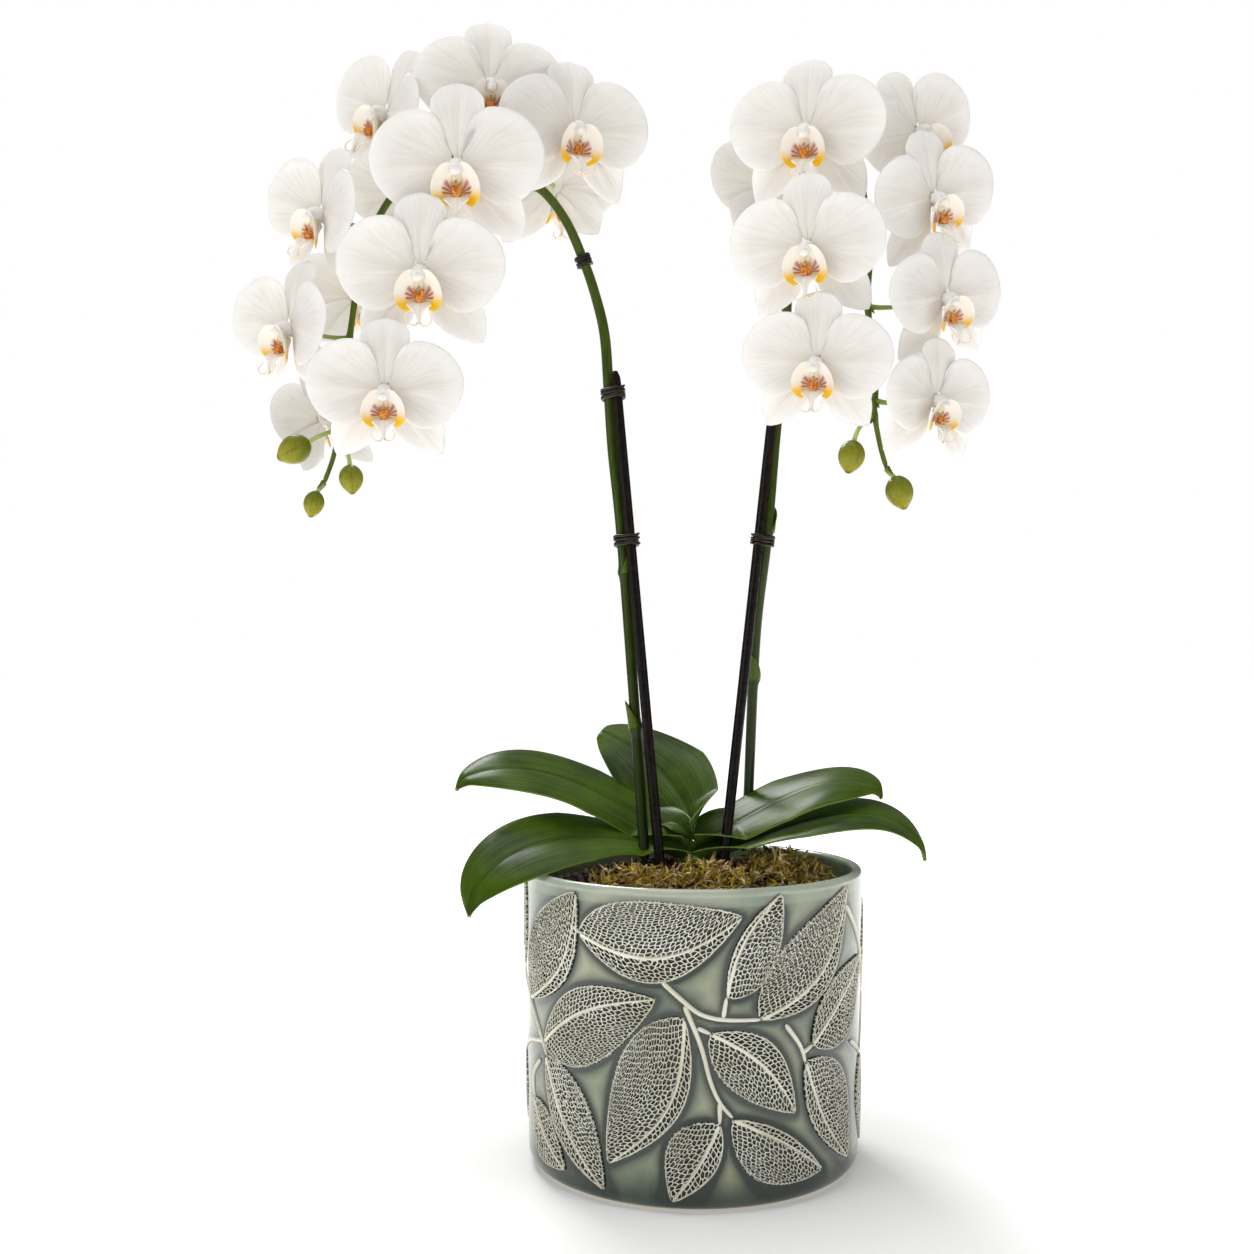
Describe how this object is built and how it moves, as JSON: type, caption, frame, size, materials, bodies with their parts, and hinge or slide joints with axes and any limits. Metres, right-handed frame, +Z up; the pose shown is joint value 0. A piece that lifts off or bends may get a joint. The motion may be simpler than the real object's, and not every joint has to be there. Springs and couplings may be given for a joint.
{
  "type": "potted orchid",
  "caption": "White moth orchid in a round glazed planter with a relief of leaves: strap leaves, caned arching spikes of open flowers and buds, moss over bark mix.",
  "frame": {"origin": "centre of the pot's flat base, on the floor plane", "axes": "+Z up along the pot's axis, -Y towards the front, where most flowers face, +X to the viewer's right"},
  "size_m": [0.4253, 0.19, 0.6365],
  "materials": {
    "celadon_glaze": "glossy celadon glaze, pooled darker round a cream relief",
    "potting_bark": "damp chopped bark",
    "crown_green": "waxy plant tissue",
    "moss_gold": "dry curled moss",
    "leaf_green": "waxy leaf with a soft sheen",
    "stem_green": "smooth green stem",
    "cane_brown": "dark stained cane",
    "tie_brown": "brown coated wire",
    "petal_white": "soft translucent white petal, yellow and rust lip",
    "bud_green": "smooth yellow-green bud"
  },
  "bodies": {
    "root": {"pot": "celadon_glaze", "potting_mix": "potting_bark", "crown_and_roots": "crown_green", "moss_left": "moss_gold", "moss_front": "moss_gold", "moss_right": "moss_gold", "leaf_left_lower": "leaf_green", "leaf_left_upper": "leaf_green", "leaf_back": "leaf_green", "leaf_right_upper": "leaf_green", "leaf_right_lower": "leaf_green", "flower_spike_left": "stem_green", "flower_spike_right": "stem_green", "cane_left": "cane_brown", "cane_right": "cane_brown", "tie_left_lower": "tie_brown", "tie_left_upper": "tie_brown", "tie_left_top": "tie_brown", "tie_right_lower": "tie_brown", "tie_right_upper": "tie_brown", "flower_left_01": "petal_white", "flower_left_02": "petal_white", "flower_left_03": "petal_white", "flower_left_04": "petal_white", "flower_left_05": "petal_white", "flower_left_06": "petal_white", "flower_left_07": "petal_white", "flower_left_08": "petal_white", "flower_left_09": "petal_white", "flower_left_10": "petal_white", "flower_left_11": "petal_white", "flower_left_12": "petal_white", "flower_right_01": "petal_white", "flower_right_02": "petal_white", "flower_right_03": "petal_white", "flower_right_04": "petal_white", "flower_right_05": "petal_white", "flower_right_06": "petal_white", "flower_right_07": "petal_white", "flower_right_08": "petal_white", "bud_left_1": "bud_green", "bud_left_2": "bud_green", "bud_left_3": "bud_green", "bud_right_1": "bud_green", "bud_right_2": "bud_green"}
  },
  "joints": []
}
